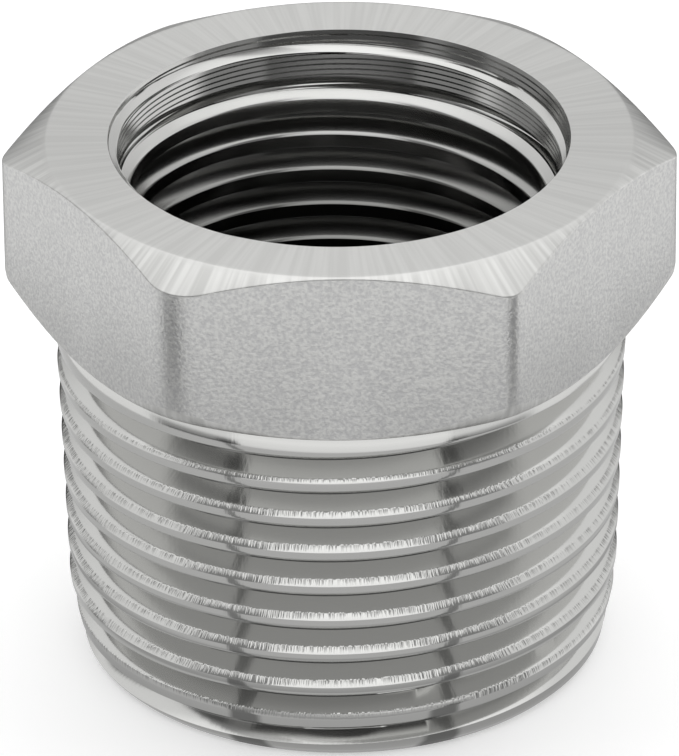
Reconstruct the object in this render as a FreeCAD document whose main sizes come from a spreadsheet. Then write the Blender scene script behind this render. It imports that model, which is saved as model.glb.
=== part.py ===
import FreeCAD, Part
import os
import Sketcher

# A reducing hexagon bushing for threaded pipe: a 3/4 inch taper thread outside screws into the
# larger fitting, and a 1/2 inch taper thread inside takes the smaller pipe. It is one piece of
# stainless steel, turned from hexagon bar.
#
# It stands on the small end of its outside thread. The origin is the middle of that end face,
# +Z is the axis towards the hexagon head, and two flats of the head face -Y and +Y.

os.makedirs("parts", exist_ok=True)
doc = FreeCAD.newDocument("hex_bushing")

# Driving sizes in millimetres, degrees for the angle, as a maker's drawing would give them.
DRIVING_SIZES = [
    ("overall_length", "25.75"),
    ("head_height", "8.3"),
    ("across_flats", "27.0"),
    ("corner_round", "1.0"),
    ("chamfer_circle", "26.8"),
    ("chamfer_angle", "28"),
    ("collar_height", "0.45"),
    ("threads_per_inch", "14"),
    ("taper_on_diameter", "0.0625"),
    ("male_end_pitch_dia", "24.579"),
    ("male_crest_flat", "0.5"),
    ("male_root_flat", "0.3"),
    ("male_end_face_dia", "23.5"),
    ("male_end_break", "0.4"),
    ("male_lead_length", "3.2"),
    ("thread_to_collar", "0.17"),
    ("run_out_share", "0.3"),
    ("cutter_clearance", "0.25"),
    ("female_mouth_pitch_dia", "19.772"),
    ("female_crest_flat", "0.67"),
    ("female_thread_depth", "14.5"),
    ("mouth_dia", "21.12"),
    ("counterbore_dia", "20.3"),
    ("counterbore_depth", "2.5"),
    ("flow_bore_dia", "18.0"),
    ("flow_bore_break", "0.3"),
]

sizes = doc.addObject("Spreadsheet::Sheet", "sizes")
for row, (alias, value) in enumerate(DRIVING_SIZES, start=1):
    sizes.set(f"A{row}", alias)
    sizes.set(f"B{row}", value)
    sizes.setAlias(f"B{row}", alias)
doc.recompute()

# Formulas over the sizes, shared by several outlines.
PITCH = "(25.4 / sizes.threads_per_inch)"
TAPER = "(sizes.taper_on_diameter / 2)"
TOP = "sizes.overall_length"
UNDERSIDE = "(sizes.overall_length - sizes.head_height)"
COLLAR_START = f"({UNDERSIDE} - sizes.collar_height)"

# How far a cutting outline reaches past the metal that it takes away.
PAST_METAL = "1"

# A feature that changes the volume by less than this many cubic millimetres has missed.
LEAST_CHANGE = 0.5


def crest_rise(crest_flat):
    """Height of a 60 degree ridge's flat crest above the pitch line: half of what the flat
    leaves of half a pitch, times the flank's slope."""
    return f"(({PITCH} / 2 - {crest_flat}) / 2 * sqrt(3))"


def male_crest_radius(height):
    """Crest of the outside thread, a cone that widens towards the head."""
    at_end = f"sizes.male_end_pitch_dia / 2 + {crest_rise('sizes.male_crest_flat')}"
    return f"({at_end} + {height} * {TAPER})"


def female_crest_radius(depth):
    """Crest of the inside thread, a cone that narrows with depth below the top face."""
    at_mouth = f"sizes.female_mouth_pitch_dia / 2 - {crest_rise('sizes.female_crest_flat')}"
    return f"({at_mouth} - {depth} * {TAPER})"


def origin_plane(body, role):
    for feature in body.Origin.OriginFeatures:
        if feature.Role == role:
            return feature
    raise RuntimeError(f"{body.Name} has no {role}")


def tie(sketch, line, kind, formula, axis):
    """Tie the start of a line to its place along x or y; "0" puts it on the sketch's axis."""
    if formula == "0":
        sketch.addConstraint(Sketcher.Constraint("PointOnObject", line, 1, axis))
        return
    index = sketch.addConstraint(Sketcher.Constraint(kind, -1, 1, line, 1, 1.0))
    sketch.setExpression(f"Constraints[{index}]", formula)


def draw_outline(sketch, corners):
    """Draw a closed outline whose corners are pairs of formulas over the sizes. The lines start
    as a rough ring, and the ties then place every corner."""
    first = sketch.GeometryCount
    count = len(corners)
    rough = [FreeCAD.Vector(5 + i, 5 + (i * i) % 7, 0) for i in range(count)]
    for i in range(count):
        sketch.addGeometry(Part.LineSegment(rough[i], rough[(i + 1) % count]), False)
    for i in range(count):
        after = first + (i + 1) % count
        sketch.addConstraint(Sketcher.Constraint("Coincident", first + i, 2, after, 1))
    for i, (across, up) in enumerate(corners):
        tie(sketch, first + i, "DistanceX", across, -2)
        tie(sketch, first + i, "DistanceY", up, -1)


def new_sketch(body, name, role):
    sketch = body.newObject("Sketcher::SketchObject", name)
    sketch.AttachmentSupport = (origin_plane(body, role), "")
    sketch.MapMode = "FlatFace"
    return sketch


def turn(body, kind, name, sketch):
    """Revolve a sketch all the way round the axis, to add metal or to cut it away."""
    feature = body.newObject(kind, name)
    feature.Profile = sketch
    feature.ReferenceAxis = (sketch, ["V_Axis"])
    feature.Angle = 360.0
    sketch.Visibility = False
    doc.recompute()
    return feature


def expect_change(before, after, sign, what):
    """Stop if a feature left the volume as it was or changed it the wrong way."""
    change = after.Shape.Volume - before
    if change * sign < LEAST_CHANGE:
        raise RuntimeError(f"{what} changed the volume by {change:.3f} cubic millimetres")


blank = doc.addObject("PartDesign::Body", "turned_blank")

# Head: hexagon bar, its six corners slightly rounded as drawn bar has them.
bar_outline = new_sketch(blank, "bar_outline", "XY_Plane")
bar_outline.setExpression("AttachmentOffset.Base.z", UNDERSIDE)
CORNER = "sizes.across_flats / sqrt(3)"
HALF_FLATS = "sizes.across_flats / 2"
draw_outline(
    bar_outline,
    [
        (CORNER, "0"),
        (f"{CORNER} / 2", HALF_FLATS),
        (f"-{CORNER} / 2", HALF_FLATS),
        (f"-{CORNER}", "0"),
        (f"-{CORNER} / 2", f"-{HALF_FLATS}"),
        (f"{CORNER} / 2", f"-{HALF_FLATS}"),
    ],
)
head = blank.newObject("PartDesign::Pad", "head")
head.Profile = bar_outline
head.setExpression("Length", "sizes.head_height")
bar_outline.Visibility = False
doc.recompute()

upright_edges = []
for number, edge in enumerate(head.Shape.Edges, start=1):
    if edge.BoundBox.ZLength > head.Length.Value / 2:
        upright_edges.append(f"Edge{number}")
rounds = blank.newObject("PartDesign::Fillet", "corner_rounds")
rounds.Base = (head, upright_edges)
rounds.setExpression("Radius", "sizes.corner_round")
doc.recompute()
expect_change(head.Shape.Volume, rounds, -1, "rounding the corners")

# Both ends of the head are chamfered in the lathe by cones. On each flat a cone leaves the
# curved upper and lower edge that every turned hexagon has.
CIRCLE = "sizes.chamfer_circle / 2"
SLOPE = "tan(sizes.chamfer_angle * 1 deg)"
INNER_REACH = f"({CIRCLE} - {PAST_METAL})"
OUTER_REACH = f"({CORNER} + {PAST_METAL})"
ABOVE_FACE = f"({PAST_METAL} * {SLOPE})"
DROP_AT_REACH = f"(({OUTER_REACH} - {CIRCLE}) * {SLOPE})"
chamfer_outline = new_sketch(blank, "chamfer_outline", "XZ_Plane")
draw_outline(
    chamfer_outline,
    [
        (INNER_REACH, f"{TOP} + {ABOVE_FACE}"),
        (OUTER_REACH, f"{TOP} + {ABOVE_FACE}"),
        (OUTER_REACH, f"{TOP} - {DROP_AT_REACH}"),
    ],
)
draw_outline(
    chamfer_outline,
    [
        (INNER_REACH, f"{UNDERSIDE} - {ABOVE_FACE}"),
        (OUTER_REACH, f"{UNDERSIDE} - {ABOVE_FACE}"),
        (OUTER_REACH, f"{UNDERSIDE} + {DROP_AT_REACH}"),
    ],
)
chamfers = turn(blank, "PartDesign::Groove", "head_chamfers", chamfer_outline)
expect_change(rounds.Shape.Volume, chamfers, -1, "chamfering the head")

# Spigot: what the outside thread is cut on. From the end face up it is a broken edge, a
# steeper lead, the taper of the thread's crests and a short plain collar under the head. It
# runs on into the head, so that the two are one piece.
spigot_outline = new_sketch(blank, "spigot_outline", "XZ_Plane")
END_RADIUS = "sizes.male_end_face_dia / 2"
INSIDE_HEAD = f"({UNDERSIDE} + sizes.head_height / 4)"
draw_outline(
    spigot_outline,
    [
        ("0", "0"),
        (END_RADIUS, "0"),
        (f"{END_RADIUS} + sizes.male_end_break", "sizes.male_end_break"),
        (male_crest_radius("sizes.male_lead_length"), "sizes.male_lead_length"),
        (male_crest_radius(COLLAR_START), COLLAR_START),
        (male_crest_radius(COLLAR_START), INSIDE_HEAD),
        ("0", INSIDE_HEAD),
    ],
)
spigot = turn(blank, "PartDesign::Revolution", "spigot", spigot_outline)
expect_change(chamfers.Shape.Volume, spigot, 1, "the spigot")

# Bore: a chamfered mouth, a short counterbore that guides the pipe in, the reamed taper that
# the inside thread's crests lie on, and the plain waterway.
STEP_REACH = f"(sizes.counterbore_dia / 2 + sizes.counterbore_depth - {female_crest_radius('0')})"
MINOR_START = f"({STEP_REACH} / (1 - {TAPER}))"
MOUTH_DROP = "(sizes.mouth_dia - sizes.counterbore_dia) / 2"
MINOR_END = female_crest_radius("sizes.female_thread_depth")
STEP = f"({MINOR_END} - sizes.flow_bore_dia / 2)"
bore_outline = new_sketch(blank, "bore_outline", "XZ_Plane")
draw_outline(
    bore_outline,
    [
        ("0", f"{TOP} + {PAST_METAL}"),
        (f"sizes.mouth_dia / 2 + {PAST_METAL}", f"{TOP} + {PAST_METAL}"),
        ("sizes.counterbore_dia / 2", f"{TOP} - {MOUTH_DROP}"),
        ("sizes.counterbore_dia / 2", f"{TOP} - sizes.counterbore_depth"),
        (female_crest_radius(MINOR_START), f"{TOP} - {MINOR_START}"),
        (MINOR_END, f"{TOP} - sizes.female_thread_depth"),
        ("sizes.flow_bore_dia / 2", f"{TOP} - sizes.female_thread_depth - {STEP}"),
        ("sizes.flow_bore_dia / 2", "sizes.flow_bore_break"),
        (f"sizes.flow_bore_dia / 2 + sizes.flow_bore_break + {PAST_METAL}", f"-{PAST_METAL}"),
        ("0", f"-{PAST_METAL}"),
    ],
)
bore = turn(blank, "PartDesign::Groove", "bore", bore_outline)
expect_change(spigot.Shape.Volume, bore, -1, "the bore")
blank.Tip = bore
doc.recompute()

# Outside thread: a 60 degree groove with a narrow flat root, cut right-handed along a cone helix.
# The helix starts below the end face and its last full groove stops just short of the collar.
GROOVE_HALF_WIDTH = f"(({PITCH} - sizes.male_crest_flat) / 2)"
LAST_GROOVE = f"({COLLAR_START} - sizes.thread_to_collar - {GROOVE_HALF_WIDTH})"
TURNS = f"(ceil({LAST_GROOVE} / {PITCH}) + 1)"
FIRST_GROOVE = f"({LAST_GROOVE} - {TURNS} * {PITCH})"
ROOT_HALF = "(sizes.male_root_flat / 2)"
ROOT_DEPTH = f"(({PITCH} / 4 - {ROOT_HALF}) * sqrt(3))"
CUT_DEPTH = f"({ROOT_DEPTH} + {crest_rise('sizes.male_crest_flat')} + sizes.cutter_clearance)"
CUTTER_HALF = f"({ROOT_HALF} + {CUT_DEPTH} / sqrt(3))"

# The sweep starts this many degrees away from the turned faces' own seam, which is on +X.
START_ANGLE = 37.0


def root_radius(height):
    """Root of the outside thread at a height above the end face."""
    return f"(sizes.male_end_pitch_dia / 2 + {height} * {TAPER} - {ROOT_DEPTH})"


def cut_groove(body, name, start, rise, cone_angle):
    """Sweep the groove's section along one stretch of cone helix and cut it from the body.

    The section stands on the X axis, its narrow end towards the axis. The helix has one edge to
    a turn, because a sweep along a longer edge closes on itself.
    """
    path = doc.addObject("Part::Helix", f"{name}_path")
    path.Style = "New style"
    path.SegmentLength = 1.0
    path.setExpression("Pitch", PITCH)
    path.setExpression("Height", rise)
    path.setExpression("Radius", root_radius(start))
    path.setExpression("Angle", cone_angle)
    path.Placement.Rotation = FreeCAD.Rotation(FreeCAD.Vector(0, 0, 1), START_ANGLE)
    path.setExpression("Placement.Base.z", start)

    section = doc.addObject("Sketcher::SketchObject", f"{name}_section")
    upright = FreeCAD.Rotation(FreeCAD.Vector(1, 0, 0), 90)
    section.Placement.Rotation = FreeCAD.Rotation(FreeCAD.Vector(0, 0, 1), START_ANGLE) * upright
    inner = root_radius(start)
    outer = f"({inner} + {CUT_DEPTH})"
    draw_outline(
        section,
        [
            (inner, f"{start} - {ROOT_HALF}"),
            (outer, f"{start} - {CUTTER_HALF}"),
            (outer, f"{start} + {CUTTER_HALF}"),
            (inner, f"{start} + {ROOT_HALF}"),
        ],
    )
    doc.recompute()

    swept = doc.addObject("Part::Sweep", f"{name}_swept")
    swept.Sections = [section]
    swept.Spine = (path, [f"Edge{i}" for i in range(1, len(path.Shape.Edges) + 1)])
    swept.Solid = True
    swept.Frenet = True

    threaded = doc.addObject("Part::Cut", name)
    threaded.Base = body
    threaded.Tool = swept
    doc.recompute()
    expect_change(body.Shape.Volume, threaded, -1, name)
    return threaded


outside_thread = cut_groove(
    blank, "outside_thread", FIRST_GROOVE, f"{TURNS} * {PITCH}", f"atan({TAPER})"
)

# Run-out: over the last part of a turn the tool backs out of the metal on a steeper cone.
RUN_OUT_RISE = f"(sizes.run_out_share * {PITCH})"
run_out = cut_groove(
    outside_thread, "run_out", LAST_GROOVE, RUN_OUT_RISE, f"atan({CUT_DEPTH} / {RUN_OUT_RISE})"
)

run_out.Label = "hex_bushing"
sub_parts = [run_out]

for item in doc.Objects:
    if "Invalid" in item.State or "Error" in item.State:
        raise RuntimeError(f"{item.Name} did not build: {item.State}")
for item in sub_parts:
    shape = item.Shape
    if shape.isNull() or not shape.isValid() or len(shape.Solids) != 1:
        raise RuntimeError(f"{item.Label} is not one valid solid")
for item in sub_parts:
    item.Shape.exportStep(os.path.join("parts", f"{item.Label}.step"))
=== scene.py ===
import math

import bmesh
import bpy
import numpy as np
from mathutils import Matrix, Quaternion, Vector


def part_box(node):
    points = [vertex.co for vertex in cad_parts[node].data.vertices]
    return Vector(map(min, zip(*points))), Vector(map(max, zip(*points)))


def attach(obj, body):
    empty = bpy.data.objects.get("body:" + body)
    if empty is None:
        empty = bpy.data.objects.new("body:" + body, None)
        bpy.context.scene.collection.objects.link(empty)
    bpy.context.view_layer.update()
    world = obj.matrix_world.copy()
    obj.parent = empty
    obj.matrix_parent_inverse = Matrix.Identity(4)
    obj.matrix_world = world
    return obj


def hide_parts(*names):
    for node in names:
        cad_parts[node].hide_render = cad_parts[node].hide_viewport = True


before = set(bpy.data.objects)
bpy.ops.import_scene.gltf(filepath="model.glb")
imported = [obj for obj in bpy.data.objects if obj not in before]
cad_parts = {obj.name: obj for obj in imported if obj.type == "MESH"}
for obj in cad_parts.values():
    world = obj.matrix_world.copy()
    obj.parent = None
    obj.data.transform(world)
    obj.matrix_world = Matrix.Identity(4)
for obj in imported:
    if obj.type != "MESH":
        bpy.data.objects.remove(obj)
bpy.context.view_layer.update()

# The bushing starts as a length of drawn stainless hexagon bar, 27 mm across its flats, and its
# head keeps that hexagon. Both ends of the head are chamfered in the lathe. Tumbling rounds the
# corners, the front left one most. Sizes are in millimetres.

MM = 0.001
TURN = 2 * math.pi
low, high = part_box("hex_bushing")
LENGTH = (high.z - low.z) / MM
FLATS = (high.y - low.y) / MM
HEAD = 8.3
UNDERSIDE = LENGTH - HEAD
CHAMFER_RADIUS = 13.4
LOWER_CHAMFER_RADIUS = 13.46
CHAMFER_SLOPE = math.tan(math.radians(28))
CORNER_ROUND = 1.0
TUMBLED_BLEND = 0.75
WORN_BLEND = 1.7
WORN_CORNER = math.radians(240)
CORNER_CENTRE = (FLATS / 2 - CORNER_ROUND) / math.cos(math.pi / 6)
CORNER_HALF = math.atan(CORNER_ROUND / 2 / (CORNER_CENTRE + CORNER_ROUND * math.cos(math.pi / 6)))
BESIDE_CORNER = 3.5 * CORNER_HALF
CORNER_COLUMNS = 6
BESIDE_COLUMNS = 5
FLAT_COLUMNS = 28


def column_angles():
    """Angles of the columns that the whole surface has round the axis. Every sixth of a turn
    has close columns over a rounded corner, then beside it, and wider ones across a flat. The
    last column lies on the first, a turn further on."""
    corner = np.linspace(-CORNER_HALF, CORNER_HALF, CORNER_COLUMNS + 1)[:-1]
    beside = np.linspace(CORNER_HALF, BESIDE_CORNER, BESIDE_COLUMNS + 1)[:-1]
    flat = np.linspace(BESIDE_CORNER, math.pi / 3 - BESIDE_CORNER, FLAT_COLUMNS + 1)
    sixth = np.concatenate([corner, beside, flat, math.pi / 3 - beside[:0:-1]])
    angles = np.concatenate([sixth + i * math.pi / 3 for i in range(6)])
    return np.append(angles, angles[0] + TURN)


def soft_min(a, b, blend):
    """The smaller of two surfaces, with a parabola laid into the corner where they meet."""
    near = np.maximum(blend - np.abs(a - b), 0) / blend
    return np.minimum(a, b) - near**2 * blend / 4


def hexagon_radius(angle):
    """Distance from the axis to the head's side: the flat's half width over the cosine of the
    angle from its middle, and near a corner the far side of the corner's circle. Wear takes it
    down to the parabola between the two flats."""
    from_corner = np.abs((angle + math.pi / 6) % (math.pi / 3) - math.pi / 6)
    on_flat = FLATS / 2 / np.cos(math.pi / 6 - from_corner)
    next_flat = FLATS / 2 / np.cos(math.pi / 6 + from_corner)
    across = CORNER_CENTRE * np.sin(from_corner)
    bulge = np.sqrt(np.maximum(CORNER_ROUND**2 - across**2, 0))
    on_round = CORNER_CENTRE * np.cos(from_corner) + bulge
    drawn = np.where(from_corner < CORNER_HALF, on_round, on_flat)
    wear = np.where(np.abs(angle - WORN_CORNER) < math.pi / 6, WORN_BLEND, TUMBLED_BLEND)
    return np.minimum(drawn, soft_min(on_flat, next_flat, wear))


ANGLES = column_angles()
hexagon = hexagon_radius(ANGLES)

# Below the head the bar is turned down to a collar and a tapered spigot, with a broken edge and
# a lead at its end. The outside thread is chased on it, 14 right-hand turns to the inch, and the
# tool backs out below the collar. It leaves the upper edge of every ridge torn.

PITCH = 25.4 / 14
TAPER = 1 / 32
FLANK = math.sqrt(3)
COLLAR = 0.45
COLLAR_START = UNDERSIDE - COLLAR
LEAN_START = UNDERSIDE - 0.75
COLLAR_LEAN = math.tan(math.radians(12.5))
END_FACE_RADIUS = 11.75
END_BREAK = 0.4
END_BLEND = 0.12
LEAD_LENGTH = 3.2
LEAD_BLEND = 0.1


def half_depth(flat):
    """Height of a crest above the pitch line, or depth of a root below it: half of what its
    flat leaves of half a pitch, times the flank's slope."""
    return (PITCH / 2 - flat) / 2 * FLANK


MALE_PITCH_RADIUS = 24.579 / 2
MALE_CREST_FLAT = 0.5
MALE_ROOT_FLAT = 0.08
MALE_CREST = MALE_PITCH_RADIUS + half_depth(MALE_CREST_FLAT)
GROOVE_HALF = (PITCH - MALE_CREST_FLAT) / 2
THREAD_TO_COLLAR = 0.17
LAST_GROOVE = COLLAR_START - THREAD_TO_COLLAR - GROOVE_HALF
MALE_GROOVES = range(math.ceil(LAST_GROOVE / PITCH) + 1, -2, -1)
RUN_OUT_TURNS = 0.3
RIDGE_EASE = 0.115
LAST_RIDGE_EASE = 0.06
EASE_CHANGE_TURNS = 1.8
CUT_BLEND = 0.03
CREST_BLEND = 0.13
LEAST_HALF = 0.05
CLEAR_OUTSIDE = 99.0


def spigot_radius(z):
    """Outside of the spigot before its thread: the smallest of a broken edge, a lead, the taper
    of the crests and the collar, which leans in towards the head."""
    edge = END_FACE_RADIUS + z
    at_edge = END_FACE_RADIUS + END_BREAK
    at_lead = MALE_CREST + LEAD_LENGTH * TAPER
    lead = at_edge + (z - END_BREAK) * (at_lead - at_edge) / (LEAD_LENGTH - END_BREAK)
    crest = MALE_CREST + z * TAPER
    collar = MALE_CREST + LEAN_START * TAPER - (z - LEAN_START) * COLLAR_LEAN
    turned = soft_min(soft_min(edge, lead, END_BLEND), crest, LEAD_BLEND)
    return soft_min(turned, collar, CUT_BLEND)


def male_groove(k):
    """Middle, half width at the crest and ease of the ridge below, in every column, for the
    groove k turns below the last full one. The half width goes to nothing over the run-out."""
    turn = ANGLES / TURN - k
    middle = LAST_GROOVE + turn * PITCH
    half = GROOVE_HALF * np.clip(1 - turn / RUN_OUT_TURNS, 0, 1)
    ease = np.interp(turn, [-EASE_CHANGE_TURNS, 0.0], [RIDGE_EASE, LAST_RIDGE_EASE])
    return middle, half, ease * half / GROOVE_HALF


def spigot_surface(z):
    """Radius of the finished spigot at heights z, and where an edge is eased.

    A groove's middle climbs a pitch for every turn. Its section is the highest of a flat root
    and two flanks, and the spigot is cut down to it. A 45 degree plane takes off each ridge's
    upper edge. Above the last full groove the section lifts out of the metal."""
    surface = spigot_radius(z)
    eased = np.zeros_like(surface)
    flat = MALE_ROOT_FLAT / 2
    for k in MALE_GROOVES:
        middle, half, ease = male_groove(k)
        cuts = half > LEAST_HALF
        crest = MALE_CREST + middle * TAPER
        root = np.where(cuts, crest - (half - flat) * FLANK, CLEAR_OUTSIDE)
        upper = root + FLANK * (middle - flat - z)
        lower = root + FLANK * (z - middle - flat)
        section = np.maximum(root, np.maximum(upper, lower))
        surface = soft_min(surface, section, np.where(z > middle, CREST_BLEND, CUT_BLEND))
        plane = crest - (z - (middle - half - ease))
        plane = np.where((z < middle) & cuts, plane, CLEAR_OUTSIDE)
        eased = np.where(plane < surface, 1.0, eased)
        surface = soft_min(surface, plane, CUT_BLEND)
    return surface, eased


def rows_at(line, offsets):
    """Rows at offsets from a line, which is one height or has a height of its own in every
    column."""
    return [line + offset + 0 * ANGLES for offset in offsets]


BREAK_ROWS = (-0.06, 0.0, 0.06)
LEAD_ROWS = (-0.1, 0.0, 0.1)
EASE_ROWS = (-0.2, -0.03, 0.015)
EASE_FOOT_ROWS = (-0.02, 0.03)
MALE_ROOT_ROWS = (-MALE_ROOT_FLAT / 2 - 0.015, 0.0, MALE_ROOT_FLAT / 2 + 0.015)
CREST_ROWS = (-0.075, -0.04, 0.0, 0.04, 0.075)


def male_thread():
    """Rows of the outside thread from the end face up: radius, height and where it is eased.
    Rows lie close beside every edge and are then put in order of height in every column. The
    45 degree plane ends on the flank at its ease over the difference of the two slopes."""
    rows = rows_at(0.0, (0.0, END_BREAK / 2, 3 * END_BREAK, LEAN_START))
    rows += rows_at(END_BREAK, BREAK_ROWS)
    rows += rows_at(LEAD_LENGTH, LEAD_ROWS)
    for k in MALE_GROOVES:
        middle, half, ease = male_groove(k)
        rows += rows_at(middle - half - ease, EASE_ROWS)
        rows += rows_at(middle - half + ease / (FLANK - 1), EASE_FOOT_ROWS)
        rows += rows_at(middle, MALE_ROOT_ROWS)
        rows += rows_at(middle + half, CREST_ROWS)
    heights = np.sort(np.clip(np.array(rows), 0, COLLAR_START), axis=0)
    radii, eased = spigot_surface(heights)
    return radii, heights, eased


male_r, male_z, male_eased = male_thread()

# The bore is chamfered at its mouth and counterbored down to the second groove of the inside
# thread. That thread is tapped on a taper, 14 turns to the inch, and its last turns run out. A
# 45 degree step then leads to the drilled waterway, which opens in the end face.

FEMALE_PITCH_RADIUS = 19.772 / 2
FEMALE_CREST_FLAT = 0.67
FEMALE_ROOT_FLAT = 0.08
FEMALE_CREST = FEMALE_PITCH_RADIUS - half_depth(FEMALE_CREST_FLAT)
FEMALE_ROOT = FEMALE_PITCH_RADIUS + half_depth(FEMALE_ROOT_FLAT)
FEMALE_HALF = (FEMALE_ROOT - FEMALE_CREST) / FLANK + FEMALE_ROOT_FLAT / 2
FEMALE_DEPTH = 14.5
FEMALE_EASE = 0.03
FEMALE_EDGE = FEMALE_HALF + FEMALE_EASE
FEMALE_FADE = 2.4
FADED_PAST_CREST = 0.05
FIRST_GROOVE_DEPTH = 0.72
FEMALE_GROOVES = range(-1, math.ceil(FEMALE_DEPTH / PITCH) + 1)
MOUTH_RADIUS = 10.56
MOUTH_STEEPNESS = math.tan(math.radians(12))
COUNTERBORE_RADIUS = 10.15
STEP_BLEND = 0.05
FLOW_RADIUS = 9.0
FLOW_BREAK = 0.3

# The cut that opens the first groove comes in here round the bore, over this part of a turn.
COME_IN_TURN = 0.62
COME_IN_LENGTH = 0.25
come_in = np.clip((ANGLES / TURN - COME_IN_TURN) / COME_IN_LENGTH, 0, 1)


def soft_max(a, b, blend):
    """The larger of two surfaces, rounded as soft_min rounds the smaller."""
    return -soft_min(-a, -b, blend)


def female_middle(m):
    """Depth of the middle of the groove m turns below the first, in every column. It climbs a
    pitch for every turn, and the first groove's depth is the one at the back."""
    return FIRST_GROOVE_DEPTH + m * PITCH - PITCH * (ANGLES - TURN / 4) / TURN


def counterbore_end():
    """Depth where the counterbore ends: the second groove's middle, which it follows round, and
    over a quarter of a turn it comes back to where it began."""
    return female_middle(1) + PITCH * come_in


def bored_radius(depth):
    """Inside before its thread: the mouth's chamfer, the counterbore, and a 45 degree step down
    to the taper of the crests, each where it is the widest or narrowest in turn."""
    mouth = MOUTH_RADIUS - depth
    step = COUNTERBORE_RADIUS - (depth - counterbore_end())
    guide = soft_min(step, COUNTERBORE_RADIUS + 0 * depth, STEP_BLEND)
    taper = FEMALE_CREST - depth * TAPER
    return soft_max(soft_max(mouth, guide, STEP_BLEND), taper, STEP_BLEND)


def mouth_relief(depth):
    """Radius of the steep cone above the first groove, as the cut that opened it leaves it: the
    mouth's radius less the depth times the cone's slope. It comes in over a quarter of a turn
    and runs on until the groove leaves through the face."""
    all_in = ANGLES / TURN < COME_IN_TURN
    groove = np.where(all_in, female_middle(0), female_middle(1))
    cut_back = np.where(all_in, 0.0, (1 - come_in) * (MOUTH_RADIUS - COUNTERBORE_RADIUS))
    cone = MOUTH_RADIUS - cut_back - depth * MOUTH_STEEPNESS
    return np.where(depth < groove, cone, 0.0)


def bore_surface(depth):
    """Radius of the finished bore at depths below the top face.

    A groove's section is the lowest of its root and two flanks, and the bore is opened to it.
    The grooves grow shallow over the last turns, as a tap leaves them, and a 45 degree plane
    takes the burr off each ridge's upper edge."""
    surface = soft_max(bored_radius(depth), mouth_relief(depth), CUT_BLEND)
    flat = FEMALE_ROOT_FLAT / 2
    for m in FEMALE_GROOVES:
        middle = female_middle(m)
        fade = np.clip((middle - (FEMALE_DEPTH - FEMALE_FADE)) / FEMALE_FADE, 0, 1)
        sunk = fade * (FEMALE_ROOT - FEMALE_CREST + FADED_PAST_CREST)
        root = FEMALE_ROOT - middle * TAPER - sunk
        above = root - FLANK * (middle - flat - depth)
        below = root - FLANK * (depth - middle - flat)
        section = np.minimum(root, np.minimum(above, below))
        surface = soft_max(surface, section, CUT_BLEND)
        edge = middle + FEMALE_EDGE - fade * FEMALE_HALF
        plane = FEMALE_CREST - middle * TAPER - (depth - edge)
        surface = soft_max(surface, np.where(depth > middle, plane, 0.0), CUT_BLEND)
    return surface


# Grooves are counted from one above the face. The counterbore's wall needs rows of its own in
# the first four, and the end of the mouth's cone in the first three.
COUNTERBORED = range(-1, 3)
RELIEVED = range(-1, 2)
MOUTH_CHAMFER_ROWS = (-0.05, 0.0, 0.05)
MOUTH_ROWS = (0.0, 0.2, 1.0, 1.5, 2.0)
STEP_ROWS = (-0.04, 0.0, 0.04, 0.5, 0.56, 0.62)
EDGE_ROWS = (-0.04, 0.0, 0.04)
FEMALE_ROOT_ROWS = (-FEMALE_ROOT_FLAT / 2 - 0.02, 0.0, FEMALE_ROOT_FLAT / 2 + 0.02)
PLANE_FOOT_ROWS = (-0.03, 0.02)
PLANE_ROWS = (-0.02, 0.03)
RELIEF_ROWS = (-0.2, -0.16, -0.13, -0.1)

# How deep the feed rings are: full on the counterbore's wall and less on the mouth's cone. A
# point belongs to either if its radius is as near as this.
ON_WALL = 0.03
ON_CONE = 0.01
CONE_RINGS = 0.4


def female_thread():
    """Rows of the inside thread from the mouth down: radius, height and how deep the feed rings
    are. They are laid out as the outside thread's rows are."""
    rows = rows_at(0.0, MOUTH_ROWS)
    rows += rows_at(MOUTH_RADIUS - COUNTERBORE_RADIUS, MOUTH_CHAMFER_ROWS)
    rows += rows_at(counterbore_end(), STEP_ROWS)
    at_wall = (FEMALE_ROOT - COUNTERBORE_RADIUS) / FLANK + FEMALE_ROOT_FLAT / 2
    for m in FEMALE_GROOVES:
        middle = female_middle(m)
        rows += rows_at(middle - FEMALE_HALF, EDGE_ROWS)
        rows += rows_at(middle, FEMALE_ROOT_ROWS)
        rows += rows_at(middle + FEMALE_HALF - FEMALE_EASE / (FLANK - 1), PLANE_FOOT_ROWS)
        rows += rows_at(middle + FEMALE_EDGE, PLANE_ROWS)
        if m in COUNTERBORED:
            rows += rows_at(middle - at_wall, EDGE_ROWS)
            rows += rows_at(middle + at_wall, EDGE_ROWS)
        if m in RELIEVED:
            rows += rows_at(middle, RELIEF_ROWS)
    depths = np.sort(np.clip(np.array(rows), 0, FEMALE_DEPTH), axis=0)
    radii = bore_surface(depths)
    rings = np.where(np.abs(radii - COUNTERBORE_RADIUS) < ON_WALL, 1.0, 0.0)
    rings = np.where(np.abs(radii - mouth_relief(depths)) < ON_CONE, CONE_RINGS, rings)
    return radii, LENGTH - depths, rings


female_r, female_z, female_rings = female_thread()

# The bushing is one piece of metal, so it is one closed surface. The outline of its section is
# carried round the axis: up the outside thread, over the head, across the face, down the bore.
# The outline changes from column to column, so both threads run through it as true helices.

CORNER_ROWS = 4
MOST_OF_SIDE = 0.45
SHORTEST = 1e-9


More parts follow.
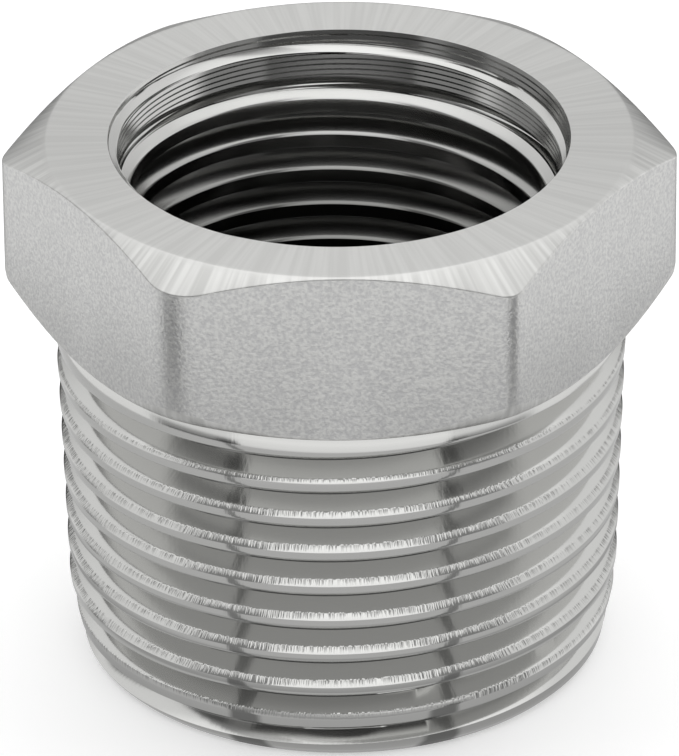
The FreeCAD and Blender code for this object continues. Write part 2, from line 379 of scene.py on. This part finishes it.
def rounded(corners):
    """Rows along an outline whose corners are eased. Each corner is (radius, height, setback),
    and becomes a parabola that leaves the outline that far before and after it, but never more
    than a part of the outline's sides."""
    r = np.array([c[0] + 0 * ANGLES for c in corners])
    z = np.array([c[1] + 0 * ANGLES for c in corners])
    rows_r, rows_z = [], []
    for i in range(1, len(corners) - 1):
        setback = corners[i][2]
        before = np.hypot(r[i - 1] - r[i], z[i - 1] - z[i])
        after = np.hypot(r[i + 1] - r[i], z[i + 1] - z[i])
        back = np.minimum(setback / np.maximum(before, SHORTEST), MOST_OF_SIDE)
        on = np.minimum(setback / np.maximum(after, SHORTEST), MOST_OF_SIDE)
        for t in np.linspace(0, 1, CORNER_ROWS):
            u = (1 - t) ** 2 * back
            v = t**2 * on
            rows_r.append(r[i] + u * (r[i - 1] - r[i]) + v * (r[i + 1] - r[i]))
            rows_z.append(z[i] + u * (z[i - 1] - z[i]) + v * (z[i + 1] - z[i]))
    return np.array(rows_r), np.array(rows_z)


TURNED_EDGE = 0.05
UNDERSIDE_EDGE = 0.02
CHAMFER_EDGE = 0.06
FACE_EDGE = 0.08
CORNER_WEAR = 0.55
drop = (hexagon - CHAMFER_RADIUS) * CHAMFER_SLOPE
lower_drop = (hexagon - LOWER_CHAMFER_RADIUS) * CHAMFER_SLOPE
toward_corner = (hexagon - FLATS / 2) / (np.max(hexagon) - FLATS / 2)
head_r, head_z = rounded(
    [
        (male_r[-1], male_z[-1], 0),
        (male_r[-1] - COLLAR * COLLAR_LEAN, UNDERSIDE, TURNED_EDGE),
        (LOWER_CHAMFER_RADIUS, UNDERSIDE, UNDERSIDE_EDGE),
        (hexagon, UNDERSIDE + lower_drop, TURNED_EDGE + CORNER_WEAR * toward_corner),
        (hexagon, LENGTH - drop, CHAMFER_EDGE),
        (CHAMFER_RADIUS, LENGTH, FACE_EDGE),
        (female_r[0], LENGTH, 0),
    ]
)

FACE_ROWS = 4
INSIDE_CHAMFER = 0.2
OUTSIDE_MOUTH = 0.1
face_r = np.linspace(CHAMFER_RADIUS - INSIDE_CHAMFER, female_r[0] + OUTSIDE_MOUTH, FACE_ROWS)
face_z = np.full_like(face_r, LENGTH)

step_end = female_z[-1] - (female_r[-1] - FLOW_RADIUS)
waterway_r, waterway_z = rounded(
    [
        (female_r[-1], female_z[-1], 0),
        (FLOW_RADIUS, step_end, TURNED_EDGE),
        (FLOW_RADIUS, FLOW_BREAK, TURNED_EDGE),
        (FLOW_RADIUS + FLOW_BREAK, 0.0, TURNED_EDGE),
        (male_r[0], 0.0, 0),
    ]
)

outline_r = np.vstack([male_r, head_r, face_r, female_r, waterway_r])
outline_z = np.vstack([male_z, head_z, face_z, female_z, waterway_z])
mouth_row = len(male_r) + len(head_r) + len(face_r)
eased_edge = np.zeros_like(outline_r)
eased_edge[: len(male_r)] = male_eased
plain_wall = np.zeros_like(outline_r)
plain_wall[mouth_row : mouth_row + len(female_r)] = female_rings

# A row's finish is that of the strip from it to the next row. The collar, the underside and the
# lower chamfer are as bright as the thread, and one strip of the head is the bar itself.
THREAD, BAR, FACE, BORE, WATERWAY = range(5)
head_finish = np.full(len(head_r), FACE)
head_finish[: 2 * CORNER_ROWS] = THREAD
head_finish[3 * CORNER_ROWS - 1] = BAR
row_finish = np.concatenate(
    [
        np.full(len(male_r), THREAD),
        head_finish,
        np.full(len(face_r), FACE),
        np.full(len(female_r), BORE),
        np.full(len(waterway_r), WATERWAY),
    ]
)

SAME_POINT = 0.0004
SHARP_EDGE = math.radians(32)


def closed_grid(name, radius, height, finish_of_row, marks):
    """Mesh of the whole body: point (row, column) is at that row's radius and height, turned to
    the column's angle. The last row joins the first, and the seam's double points are merged."""
    rows, columns = radius.shape
    x = radius * np.cos(ANGLES) * MM
    y = radius * np.sin(ANGLES) * MM
    points = np.stack([x, y, height * MM], axis=-1).reshape(-1, 3)
    row, column = np.meshgrid(np.arange(rows), np.arange(columns - 1), indexing="ij")
    here = row * columns + column
    after = (row + 1) % rows * columns + column
    quads = np.stack([here, here + 1, after + 1, after], axis=-1).reshape(-1, 4)
    finishes = np.repeat(finish_of_row, columns - 1).astype(np.int32)
    mesh = bpy.data.meshes.new(name)
    mesh.from_pydata(points.tolist(), [], quads.tolist())
    mesh.polygons.foreach_set("material_index", finishes)
    for mark, values in marks.items():
        layer = mesh.attributes.new(mark, "FLOAT", "POINT")
        layer.data.foreach_set("value", values.reshape(-1).astype(np.float32))
    work = bmesh.new()
    work.from_mesh(mesh)
    bmesh.ops.remove_doubles(work, verts=work.verts, dist=SAME_POINT * MM)
    bmesh.ops.recalc_face_normals(work, faces=work.faces)
    work.to_mesh(mesh)
    work.free()
    mesh.shade_smooth()
    mesh.set_sharp_from_angle(angle=SHARP_EDGE)
    body = bpy.data.objects.new(name, mesh)
    bpy.context.scene.collection.objects.link(body)
    return body


marks = {"eased_edge": eased_edge, "plain_wall": plain_wall}
bushing = closed_grid("bushing", outline_r, outline_z, row_finish, marks)

ACROSS_THE_MARKS = 0.25


def linear(code):
    """An sRGB hex colour as linear values, by the sRGB curve."""
    parts = [int(code[i : i + 2], 16) / 255 for i in (1, 3, 5)]
    return tuple(c / 12.92 if c <= 0.04045 else ((c + 0.055) / 1.055) ** 2.4 for c in parts) + (1.0,)


def add(tree, kind, inputs=(), out=0, **settings):
    """Add a node and give back one of its outputs. Settings name its properties. Inputs go to
    its sockets in their order, or by name or number, each a value or the output that feeds it."""
    node = tree.nodes.new(kind)
    for key, value in settings.items():
        setattr(node, key, value)
    pairs = inputs.items() if isinstance(inputs, dict) else enumerate(inputs)
    for socket, value in pairs:
        if isinstance(value, bpy.types.NodeSocket):
            tree.links.new(value, node.inputs[socket])
        else:
            node.inputs[socket].default_value = value
    return node.outputs[out]


def steel(name, colour, roughness, anisotropy):
    """Bare stainless steel. Its highlight is drawn out across the turning marks, which run round
    the axis."""
    material = bpy.data.materials.new(name)
    material.use_nodes = True
    tree = material.node_tree
    shader = tree.nodes["Principled BSDF"]
    shader.inputs["Base Color"].default_value = linear(colour)
    shader.inputs["Metallic"].default_value = 1.0
    shader.inputs["Roughness"].default_value = roughness
    shader.inputs["Anisotropic"].default_value = anisotropy
    shader.inputs["Anisotropic Rotation"].default_value = ACROSS_THE_MARKS
    if anisotropy:
        tangent = add(tree, "ShaderNodeTangent", direction_type="RADIAL", axis="Z")
        tree.links.new(tangent, shader.inputs["Tangent"])
    bushing.data.materials.append(material)
    return tree, shader


def polar(tree):
    """Unit vector round the axis, and radius and height in millimetres."""
    place = add(tree, "ShaderNodeTexCoord", out="Object")
    parts = add(tree, "ShaderNodeSeparateXYZ", [place]).node.outputs
    level = add(tree, "ShaderNodeCombineXYZ", [parts["X"], parts["Y"]])
    unit = add(tree, "ShaderNodeVectorMath", [level], operation="NORMALIZE")
    reach = add(tree, "ShaderNodeVectorMath", [level], out="Value", operation="LENGTH")
    radius = add(tree, "ShaderNodeMath", (reach, MM), operation="DIVIDE")
    height = add(tree, "ShaderNodeMath", (parts["Z"], MM), operation="DIVIDE")
    return unit, radius, height


def grain(tree, unit, along, wide, long, detail=2.0):
    """Noise in grains that are so many millimetres wide round the axis and long across it: it
    is read at the unit vector times the spigot's radius over the width, lifted by the length."""
    around = {0: unit, "Scale": MALE_CREST / wide}
    spread = add(tree, "ShaderNodeVectorMath", around, operation="SCALE")
    lift = add(tree, "ShaderNodeMath", (along, long), operation="DIVIDE")
    lifted = add(tree, "ShaderNodeCombineXYZ", {"Z": lift})
    where = add(tree, "ShaderNodeVectorMath", (spread, lifted), operation="ADD")
    return add(tree, "ShaderNodeTexNoise", {"Vector": where, "Scale": 1.0, "Detail": detail})


def show_marks(tree, shader, shade, unshaded, shaded, relief):
    """Give the steel a colour between two hex colours, the second where the shade is 1, and
    raise its surface by a height in millimetres, in the shading only."""
    between = {0: shade, 6: linear(unshaded), 7: linear(shaded)}
    colour = add(tree, "ShaderNodeMix", between, out=2, data_type="RGBA")
    tree.links.new(colour, shader.inputs["Base Color"])
    raised = add(tree, "ShaderNodeBump", {"Strength": 1.0, "Distance": MM, "Height": relief})
    tree.links.new(raised, shader.inputs["Normal"])


# Stainless steel cut with a chaser: bright flanks with faint marks across them, and a comb of
# tears along the ridges' upper edges, with painted shade in the gaps between its teeth.
TOOTH_WIDTH = 0.075
TOOTH_LENGTH = 2.5
TOOTH_HEIGHT = 0.045
CHATTER_WIDTH = 0.2
CHATTER_LENGTH = 1.5
CHATTER_HEIGHT = 0.003
GAP_BELOW = 0.40
TOOTH_ABOVE = 0.52
tree, shader = steel("threaded_stainless", "#c9c9c7", roughness=0.11, anisotropy=0.5)
unit, radius, height = polar(tree)
on_edge = add(tree, "ShaderNodeAttribute", out="Fac", attribute_name="eased_edge")
teeth = grain(tree, unit, height, TOOTH_WIDTH, TOOTH_LENGTH, detail=1.0)
torn = add(tree, "ShaderNodeMath", (teeth, 0.5), operation="SUBTRACT")
torn = add(tree, "ShaderNodeMath", (torn, on_edge), operation="MULTIPLY")
chatter = grain(tree, unit, height, CHATTER_WIDTH, CHATTER_LENGTH)
chatter = add(tree, "ShaderNodeMath", (chatter, CHATTER_HEIGHT), operation="MULTIPLY")
relief = add(tree, "ShaderNodeMath", (torn, TOOTH_HEIGHT, chatter), operation="MULTIPLY_ADD")
# The tears are relief; the darker colour in the gaps between the teeth is painted shade.
shaded_gaps = add(tree, "ShaderNodeMapRange", (teeth, GAP_BELOW, TOOTH_ABOVE, 1.0, 0.0))
shaded_gaps = add(tree, "ShaderNodeMath", (shaded_gaps, on_edge), operation="MULTIPLY")
show_marks(tree, shader, shaded_gaps, "#c9c9c7", "#a6a6a4", relief)

# Drawn hexagon bar, tumbled to an even matt after machining. The real pits are finer, and they
# are drawn as coarse as they need to be to show.
PIT_WIDTH = 0.16
PIT_DEPTH = 0.022
DULL_BELOW = 0.38
BRIGHT_ABOVE = 0.62
tree, shader = steel("tumbled_bar_stainless", "#c4c4c3", roughness=0.34, anisotropy=0.0)
place = add(tree, "ShaderNodeTexCoord", out="Object")
pitting = {"Vector": place, "Scale": 1 / (PIT_WIDTH * MM), "Detail": 4.0}
pits = add(tree, "ShaderNodeTexNoise", pitting)
relief = add(tree, "ShaderNodeMath", (pits, PIT_DEPTH), operation="MULTIPLY")
shade = add(tree, "ShaderNodeMapRange", (pits, DULL_BELOW, BRIGHT_ABOVE, 0.0, 1.0))
show_marks(tree, shader, shade, "#bcbcbc", "#cfcfcd", relief)

# Turned face and head chamfers: fine rings from the tool, and streaks that fan out from the axis
# where the tool chattered. They are faint on the flat face and full on the chamfers.
STREAK_WIDTH = 0.22
STREAK_LENGTH = 9.0
RING_ROUND = 14.0
RING_WIDTH = 0.05
RING_HEIGHT = 0.0015
DARK_STREAK_BELOW = 0.35
PALE_STREAK_ABOVE = 0.65
FULL_BELOW = LENGTH - 0.15
FAINT_ABOVE = LENGTH - 0.02
FAINT = 0.4
tree, shader = steel("turned_face_stainless", "#cbcbc9", roughness=0.33, anisotropy=0.7)
unit, radius, height = polar(tree)
fan = grain(tree, unit, radius, STREAK_WIDTH, STREAK_LENGTH, detail=1.0)
streaks = add(tree, "ShaderNodeMapRange", (fan, DARK_STREAK_BELOW, PALE_STREAK_ABOVE, -0.5, 0.5))
fullness = add(tree, "ShaderNodeMapRange", (height, FULL_BELOW, FAINT_ABOVE, 1.0, FAINT))
shade = add(tree, "ShaderNodeMath", (streaks, fullness, 0.5), operation="MULTIPLY_ADD")
rings = grain(tree, unit, radius, RING_ROUND, RING_WIDTH)
relief = add(tree, "ShaderNodeMath", (rings, RING_HEIGHT), operation="MULTIPLY")
show_marks(tree, shader, shade, "#c0c0be", "#d4d4d2", relief)

# Bored and tapped steel: the boring tool's feed stays on the plain wall as rings with one long and
# one short side, the tap leaves short marks across its flanks, and deep down it has painted shade.
FEED = 0.27
FEED_DEPTH = 0.12
LONG_SIDE = 0.7
TAP_MARK_WIDTH = 0.12
TAP_MARK_LENGTH = 2.5
TAP_MARK_HEIGHT = 0.0006
UNSHADED_DOWN_TO = 2.4
PAINTED_SHADE_FROM = 7.5
tree, shader = steel("bored_stainless", "#c9c9c7", roughness=0.15, anisotropy=0.6)
unit, radius, height = polar(tree)
on_wall = add(tree, "ShaderNodeAttribute", out="Fac", attribute_name="plain_wall")
depth = add(tree, "ShaderNodeMath", (LENGTH, height), operation="SUBTRACT")
feeds = add(tree, "ShaderNodeMath", (depth, FEED), operation="DIVIDE")
along = add(tree, "ShaderNodeMath", [feeds], operation="FRACT")
rise = add(tree, "ShaderNodeMath", (along, LONG_SIDE), operation="DIVIDE")
left = add(tree, "ShaderNodeMath", (1.0, along), operation="SUBTRACT")
fall = add(tree, "ShaderNodeMath", (left, 1 - LONG_SIDE), operation="DIVIDE")
ring = add(tree, "ShaderNodeMath", (rise, fall), operation="MINIMUM")
ring = add(tree, "ShaderNodeMath", (ring, on_wall), operation="MULTIPLY")
across = grain(tree, unit, height, TAP_MARK_WIDTH, TAP_MARK_LENGTH)
across = add(tree, "ShaderNodeMath", (across, TAP_MARK_HEIGHT), operation="MULTIPLY")
relief = add(tree, "ShaderNodeMath", (ring, FEED_DEPTH, across), operation="MULTIPLY_ADD")
# Deeper down the colour darkens: painted shade inside the bore.
down = (height, LENGTH - PAINTED_SHADE_FROM, LENGTH - UNSHADED_DOWN_TO, 1.0, 0.0)
shade = add(tree, "ShaderNodeMapRange", down)
show_marks(tree, shader, shade, "#c9c9c7", "#7c7c7a", relief)

# The waterway below is only drilled, so it is rougher, without marks that show, and its dark
# colour is painted shade deep in the bore.
# Its dark grey colour is painted shade.
steel("drilled_stainless", "#5a5a58", roughness=0.45, anisotropy=0.0)

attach(bushing, "root")
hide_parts("hex_bushing")

# The bushing stands on a sheet of white paper on a table. The paper glows a little for the
# camera, so that it looks white with the bushing's shadow on it, and the metal doesn't mirror
# it: a grey card with a painted shadow of the bushing takes its place there.

TABLE_RADIUS = 300.0
RIM_POINTS = 96
PAPER_GLOW = 0.4


def disc(name, radius, height):
    """A flat disc of the studio, lying level at a height. Its rim is a circle of points."""
    angles = np.linspace(0, TURN, RIM_POINTS + 1)[:-1]
    rim = np.stack([radius * np.cos(angles), radius * np.sin(angles), height + 0 * angles], axis=-1)
    shape = bpy.data.meshes.new(name)
    shape.from_pydata((rim * MM).tolist(), [], [list(range(RIM_POINTS))])
    item = bpy.data.objects.new(name, shape)
    bpy.context.scene.collection.objects.link(item)
    return item


floor = disc("floor", TABLE_RADIUS, 0.0)
floor.visible_glossy = False
paper = bpy.data.materials.new("white_paper")
paper.use_nodes = True
tree = paper.node_tree
shader = tree.nodes["Principled BSDF"]
shader.inputs["Base Color"].default_value = linear("#ececec")
shader.inputs["Roughness"].default_value = 1.0
shader.inputs["Specular IOR Level"].default_value = 0.0
shader.inputs["Emission Color"].default_value = (1, 1, 1, 1)
seen = add(tree, "ShaderNodeLightPath", out="Is Camera Ray")
glow = add(tree, "ShaderNodeMath", (seen, PAPER_GLOW), operation="MULTIPLY")
tree.links.new(glow, shader.inputs["Emission Strength"])
floor.data.materials.append(paper)

# The card lies round the bushing's foot and only the metal sees it. It is black under the bore
# and darker near the foot, a painted shadow of the bushing, and paler further out, by radius in
# millimetres. Two dark seams cross it in front, one on each side, each along a line at a
# distance from the axis.

CARD_RADIUS = 44.0
CARD_LIFT = 0.02
# Glow of the card by radius: lower near the foot and under the bore as a painted shadow.
CARD_LEVELS_WITH_PAINTED_SHADOW = [
    (11.2, 0.01), (11.8, 0.5), (12.2, 0.5), (12.7, 0.45), (14.0, 0.55), (15.0, 0.62),
    (16.0, 0.6), (17.5, 0.42), (19.0, 0.5), (21.0, 0.64), (CARD_RADIUS, 0.66),
]
SEAM_TURN = math.radians(46)
SEAM_OFFSET = 4.98
SEAM_EDGE = 1.1
SEAM_CORE = 0.6
SEAM_DARKNESS = 0.6


def grey_levels(tree, value, stops):
    """Grey levels along a value from 0 to 1, eased between the stops."""
    level = add(tree, "ShaderNodeValToRGB", [value])
    scale = level.node.color_ramp
    scale.interpolation = "EASE"
    while len(scale.elements) < len(stops):
        scale.elements.new(0.5)
    for element, (place, grey) in zip(scale.elements, stops):
        element.position = place
        element.color = (grey, grey, grey, 1)
    return level


def window(tree, *edges):
    """A mask that is 1 inside all its edges and 0 outside any of them. Each edge is (value,
    outside, inside), and the mask rises smoothly between the two."""
    mask = 1.0
    for edge in edges:
        rise = add(tree, "ShaderNodeMapRange", edge, interpolation_type="SMOOTHSTEP")
        mask = add(tree, "ShaderNodeMath", (mask, rise), operation="MULTIPLY")
    return mask


card = disc("card", CARD_RADIUS, CARD_LIFT)
card.visible_camera = False
card.visible_diffuse = False
card.visible_shadow = False
card_with_painted_shadow = bpy.data.materials.new("card_with_painted_shadow")
card_with_painted_shadow.use_nodes = True
tree = card_with_painted_shadow.node_tree
unit, radius, height = polar(tree)
outwards = add(tree, "ShaderNodeMath", (radius, CARD_RADIUS), operation="DIVIDE")
shade = grey_levels(tree, outwards, [(reach / CARD_RADIUS, grey) for reach, grey in CARD_LEVELS_WITH_PAINTED_SHADOW])
parts = add(tree, "ShaderNodeSeparateXYZ", [unit]).node.outputs
aside = add(tree, "ShaderNodeMath", [parts["X"]], operation="ABSOLUTE")
aside = add(tree, "ShaderNodeMath", (aside, math.cos(SEAM_TURN)), operation="MULTIPLY")
ahead = (parts["Y"], math.sin(SEAM_TURN), aside)
offset = add(tree, "ShaderNodeMath", ahead, operation="MULTIPLY_ADD")
offset = add(tree, "ShaderNodeMath", (offset, radius, SEAM_OFFSET), operation="MULTIPLY_ADD")
offset = add(tree, "ShaderNodeMath", [offset], operation="ABSOLUTE")
seam = window(tree, (offset, SEAM_EDGE, SEAM_CORE))
kept = add(tree, "ShaderNodeMath", (seam, -SEAM_DARKNESS, 1.0), operation="MULTIPLY_ADD")
glow = add(tree, "ShaderNodeMath", (shade, kept), operation="MULTIPLY")
shader = tree.nodes["Principled BSDF"]
shader.inputs["Base Color"].default_value = (0, 0, 0, 1)
shader.inputs["Specular IOR Level"].default_value = 0.0
shader.inputs["Emission Color"].default_value = (1, 1, 1, 1)
tree.links.new(glow, shader.inputs["Emission Strength"])
card.data.materials.append(card_with_painted_shadow)

# Round the table stands a light tent, drawn in the world by direction. The wall towards the
# camera is dark above the horizon, the gaps beside it are dim, the side walls are bright, and
# the rear wall is dark at the horizon. All are bright at the roof.
#
# Each wall is a list of (height, level), from height 0 straight down over 0.5 at the horizon to
# 1 straight up. Round the table, toward is 1 towards the camera and -1 away from it, and right
# is 1 on the camera's right and -1 on its left.

FRONT_WALL = [
    (0.0, 0.08), (0.1, 0.12), (0.2, 0.5), (0.26, 0.93), (0.36, 1.1), (0.47, 1.25),
    (0.6, 0.08), (0.8, 0.08), (0.88, 1.3), (0.95, 1.45), (1.0, 1.52),
]
GAP = [
    (0.0, 0.02), (0.12, 0.02), (0.22, 0.12), (0.28, 0.14), (0.34, 0.4), (0.41, 1.0),
    (0.5, 1.0), (0.56, 0.3), (0.8, 0.3), (0.9, 0.3), (0.95, 0.7), (1.0, 1.55),
]
SIDE_WALL = [
    (0.0, 0.2), (0.12, 0.3), (0.26, 1.05), (0.5, 1.1), (0.62, 0.95), (0.82, 0.98),
    (0.9, 1.25), (1.0, 1.5),
]
REAR_WALL = [
    (0.0, 0.1), (0.26, 0.3), (0.47, 0.05), (0.51, 0.05), (0.57, 0.72), (0.75, 0.82),
    (0.87, 1.25), (0.93, 1.6), (1.0, 1.55),
]
RIGHT_CARD_LEVEL = 0.3
DARKENING = 0.7
NOT_ZERO = 0.001

world = bpy.data.worlds.new("tent")
bpy.context.scene.world = world
world.use_nodes = True
tree = world.node_tree
direction = add(tree, "ShaderNodeTexCoord", out="Generated")
parts = add(tree, "ShaderNodeSeparateXYZ", [direction]).node.outputs
up = add(tree, "ShaderNodeMath", (parts["Z"], 0.5, 0.5), operation="MULTIPLY_ADD")
rise = add(tree, "ShaderNodeMath", (parts["Z"], parts["Z"]), operation="MULTIPLY")
level = add(tree, "ShaderNodeMath", (1.0, rise), operation="SUBTRACT")
level = add(tree, "ShaderNodeMath", [level], operation="SQRT")
level = add(tree, "ShaderNodeMath", (level, NOT_ZERO), operation="MAXIMUM")
right = add(tree, "ShaderNodeMath", (parts["X"], level), operation="DIVIDE")
away = add(tree, "ShaderNodeMath", (parts["Y"], level), operation="DIVIDE")
toward = add(tree, "ShaderNodeMath", (away, -1.0), operation="MULTIPLY")

tent = grey_levels(tree, up, FRONT_WALL)
for wall, begins, full in ((GAP, 0.77, 0.72), (SIDE_WALL, 0.32, 0.12), (REAR_WALL, -0.72, -0.88)):
    turned = window(tree, (toward, begins, full))
    sides = {0: turned, 6: tent, 7: grey_levels(tree, up, wall)}
    tent = add(tree, "ShaderNodeMix", sides, out=2, data_type="RGBA")

# A grey card on the right lifts what is darker there. On the left stands a dark one, and beside
# the wall towards the camera a slit below the horizon is dark.
right_card = window(tree, (right, 0.58, 0.68), (up, 0.54, 0.57), (up, 0.86, 0.8), (toward, -0.3, 0.0))
lit = {0: right_card, "Scale": RIGHT_CARD_LEVEL}
lit = add(tree, "ShaderNodeVectorMath", lit, operation="SCALE")
tent = add(tree, "ShaderNodeVectorMath", (tent, lit), operation="MAXIMUM")
slit = window(tree, (toward, 0.765, 0.745), (toward, 0.64, 0.66), (up, 0.38, 0.32))
left_card = window(tree, (right, -0.75, -0.86), (up, 0.47, 0.52), (up, 0.72, 0.66))
dark = add(tree, "ShaderNodeMath", (slit, left_card), operation="MAXIMUM")
kept = add(tree, "ShaderNodeMath", (dark, -DARKENING, 1.0), operation="MULTIPLY_ADD")
tent = add(tree, "ShaderNodeVectorMath", {0: tent, "Scale": kept}, operation="SCALE")

# The camera sees plain white behind the paper instead of the tent.
seen = add(tree, "ShaderNodeLightPath", out="Is Camera Ray")
lights = tree.nodes["Background"]
tree.links.new(tent, lights.inputs["Color"])
white = add(tree, "ShaderNodeBackground", {"Color": (1, 1, 1, 1)})
shown = add(tree, "ShaderNodeMixShader", (seen, lights.outputs[0], white))
tree.links.new(shown, tree.nodes["World Output"].inputs["Surface"])
bpy.context.scene.view_settings.view_transform = "Standard"

# The camera looks down on the front flat. Its place and lens follow from the photograph: where
# the bushing's middle lies in it, how large it is, and how its ellipses are shaped.

CAMERA_DISTANCE = 450.0
CAMERA_ELEVATION = math.radians(29.38)
CAMERA_ROLL = math.radians(-0.511)
SENSOR = 36
PHOTO_HEIGHT_PX = 756
PX_PER_MM = 21.631
RIGHT_OF_MIDDLE = 1.815 / PX_PER_MM
BELOW_MIDDLE = 1.7 / PX_PER_MM
AIM_HEIGHT = 13.0
camera_data = bpy.data.cameras.new("camera")
camera_data.sensor_width = SENSOR
camera_data.lens = PX_PER_MM * CAMERA_DISTANCE / PHOTO_HEIGHT_PX * SENSOR
camera_data.clip_start = 0.01
camera_data.clip_end = 20
camera = bpy.data.objects.new("camera", camera_data)
bpy.context.scene.collection.objects.link(camera)
bpy.context.scene.camera = camera
sin_down = math.sin(CAMERA_ELEVATION)
cos_down = math.cos(CAMERA_ELEVATION)
aim = Vector((-RIGHT_OF_MIDDLE, BELOW_MIDDLE * sin_down, AIM_HEIGHT + BELOW_MIDDLE * cos_down))
back = Vector((0, -cos_down, sin_down))
camera.location = (aim + back * CAMERA_DISTANCE) * MM
camera.rotation_mode = "QUATERNION"
camera.rotation_quaternion = (-back).to_track_quat("-Z", "Y") @ Quaternion((0, 0, 1), CAMERA_ROLL)
